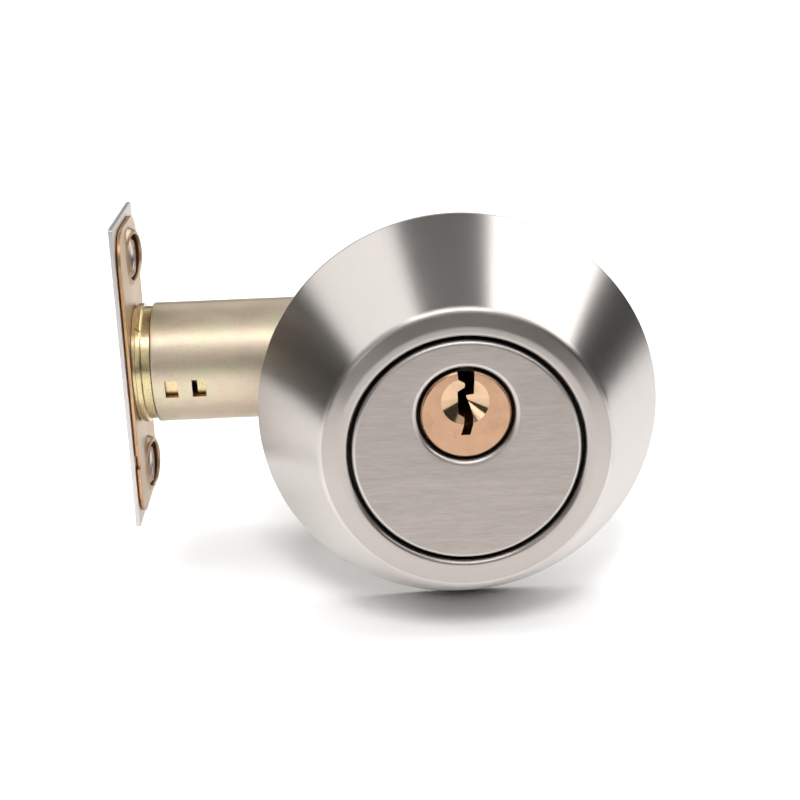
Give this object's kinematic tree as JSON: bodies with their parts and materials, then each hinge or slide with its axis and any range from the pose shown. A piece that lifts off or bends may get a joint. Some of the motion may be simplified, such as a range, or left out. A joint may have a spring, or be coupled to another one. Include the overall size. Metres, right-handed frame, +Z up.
{
  "type": "deadbolt door lock",
  "caption": "Deadbolt keyed from the street side: tapered free-spinning collar with keyed cylinder, tubular latch with faceplate and sliding bolt, and an oval room-side mounting plate.",
  "frame": {"origin": "on the latch tube's axis, at mid-door and at the centre of the door's cross bore", "axes": "+Z up; -X is the way the bolt is thrown, towards the door's edge; -Y is the street side with the keyhole, +Y the room side with the mounting plate"},
  "size_m": [0.0953, 0.0771, 0.07],
  "materials": {
    "collar_steel": "satin, brushed round the axis",
    "guard_steel": "satin, brushed straight across",
    "plate_steel": "satin",
    "turned_steel": "satin, fine turning marks",
    "bolt_steel": "satin nickel plate",
    "screw_steel": "polished zinc plate",
    "spring_steel": "satin, blued",
    "yellow_zinc_tube": "satin, yellow chromated zinc",
    "yellow_zinc_plate": "satin, yellow chromated zinc",
    "zinc_casting": "satin, as cast",
    "plug_brass": "polished",
    "shell_brass": "satin, as machined"
  },
  "bodies": {
    "root": {"cylinder_guard": "guard_steel", "exterior_base": "zinc_casting", "cylinder_body": "shell_brass", "chamber_cover": "shell_brass", "pin_spring_1": "spring_steel", "pin_spring_2": "spring_steel", "pin_spring_3": "spring_steel", "pin_spring_4": "spring_steel", "pin_spring_5": "spring_steel", "faceplate": "plate_steel", "backing_plate": "yellow_zinc_plate", "latch_sleeve": "yellow_zinc_plate", "bolt_tube": "yellow_zinc_tube", "case_street_side": "yellow_zinc_tube", "case_room_side": "yellow_zinc_tube", "case_rivet_1": "yellow_zinc_plate", "case_rivet_2": "yellow_zinc_plate", "case_rivet_3": "yellow_zinc_plate", "friction_spring": "spring_steel", "mounting_plate": "turned_steel", "mounting_screw_top": "screw_steel", "mounting_screw_bottom": "screw_steel"},
    "collar": {"exterior_collar": "collar_steel"},
    "plug": {"cylinder_plug": "plug_brass", "plug_retainer": "turned_steel"},
    "key_pins": {"key_pin_1": "shell_brass", "key_pin_2": "shell_brass", "key_pin_3": "shell_brass", "key_pin_4": "shell_brass", "key_pin_5": "shell_brass"},
    "driver_pins": {"driver_pin_1": "shell_brass", "driver_pin_2": "shell_brass", "driver_pin_3": "shell_brass", "driver_pin_4": "shell_brass", "driver_pin_5": "shell_brass"},
    "spindle": {"tailpiece": "turned_steel", "crank_hub": "zinc_casting"},
    "bolt": {"deadbolt": "bolt_steel", "anti_saw_pin": "spring_steel", "bolt_slide": "yellow_zinc_tube", "slide_rivet": "turned_steel", "crank_pin": "turned_steel"}
  },
  "joints": [
    {"name": "tailpiece_turn", "type": "hinge", "parent": "root", "child": "spindle", "pos_m": [0, 0, 0.00335], "axis": [0, 1, 0], "range_deg": [0, 90]},
    {"name": "bolt_throw", "type": "slide", "parent": "root", "child": "bolt", "axis": [-1, 0, 0], "range_m": [0, 0.0254]},
    {"name": "collar_spin", "type": "hinge", "parent": "root", "child": "collar", "pos_m": [0, -0.036, -0.003], "axis": [0, 1, 0], "continuous": true},
    {"name": "plug_turn", "type": "hinge", "parent": "root", "child": "plug", "pos_m": [0, -0.035, 0.00335], "axis": [0, 1, 0], "range_deg": [-90, 90]},
    {"name": "key_pins_rise", "type": "slide", "parent": "plug", "child": "key_pins", "axis": [0, 0, 1], "range_m": [0, 0.0012]},
    {"name": "driver_pins_drop", "type": "slide", "parent": "root", "child": "driver_pins", "axis": [0, 0, -1], "range_m": [0, 0.0015], "stiffness_N_per_m": 300, "springref_m": -0.003, "deforming": ["pin_spring_1", "pin_spring_2", "pin_spring_3", "pin_spring_4", "pin_spring_5"]}
  ],
  "couplings": [
    {"joint": "tailpiece_turn", "follows": "bolt_throw", "rad_per_m": 61.84}
  ]
}
